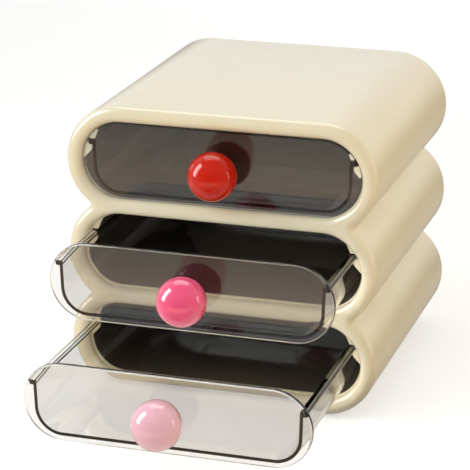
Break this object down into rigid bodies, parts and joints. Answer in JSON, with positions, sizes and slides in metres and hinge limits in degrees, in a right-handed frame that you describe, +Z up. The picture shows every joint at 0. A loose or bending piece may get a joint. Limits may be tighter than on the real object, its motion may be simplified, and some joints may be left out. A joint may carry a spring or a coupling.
{
  "type": "drawer storage box",
  "caption": "Desktop storage box with rounded stacked tiers, clear pull-out drawers that slide on side rails, and glossy ball knobs.",
  "frame": {"origin": "on the plane that the foot pads stand on, under the middle of the housing's width and depth", "axes": "+Z up, -Y the way the drawers pull out, +X to the right seen from the front"},
  "size_m": [0.25, 0.4015, 0.2372],
  "materials": {
    "housing_plastic": "gloss",
    "liner_plastic": "satin",
    "cover_plastic": "satin",
    "foot_rubber": "matte",
    "drawer_clear": "gloss",
    "knob_orange_red": "polished",
    "knob_hot_pink": "polished",
    "knob_light_pink": "polished",
    "insert_brass": "satin",
    "screw_steel": "satin",
    "washer_steel": "satin"
  },
  "bodies": {
    "cabinet": {"housing": "housing_plastic", "back_cover": "cover_plastic", "bottom_bay_liner": "liner_plastic", "middle_bay_liner": "liner_plastic", "top_bay_liner": "liner_plastic", "front_left_foot": "foot_rubber", "front_right_foot": "foot_rubber", "rear_left_foot": "foot_rubber", "rear_right_foot": "foot_rubber"},
    "bottom_drawer_unit": {"bottom_drawer": "drawer_clear", "bottom_knob": "knob_light_pink", "bottom_knob_insert": "insert_brass", "bottom_knob_screw": "screw_steel", "bottom_knob_washer": "washer_steel"},
    "middle_drawer_unit": {"middle_drawer": "drawer_clear", "middle_knob": "knob_hot_pink", "middle_knob_insert": "insert_brass", "middle_knob_screw": "screw_steel", "middle_knob_washer": "washer_steel"},
    "top_drawer_unit": {"top_drawer": "drawer_clear", "top_knob": "knob_orange_red", "top_knob_insert": "insert_brass", "top_knob_screw": "screw_steel", "top_knob_washer": "washer_steel"}
  },
  "joints": [
    {"name": "bottom_drawer_slide", "type": "slide", "parent": "cabinet", "child": "bottom_drawer_unit", "axis": [0, -1, 0], "range_m": [-0.132, 0.028]},
    {"name": "middle_drawer_slide", "type": "slide", "parent": "cabinet", "child": "middle_drawer_unit", "axis": [0, -1, 0], "range_m": [-0.074, 0.086]},
    {"name": "top_drawer_slide", "type": "slide", "parent": "cabinet", "child": "top_drawer_unit", "axis": [0, -1, 0], "range_m": [0, 0.16]}
  ]
}
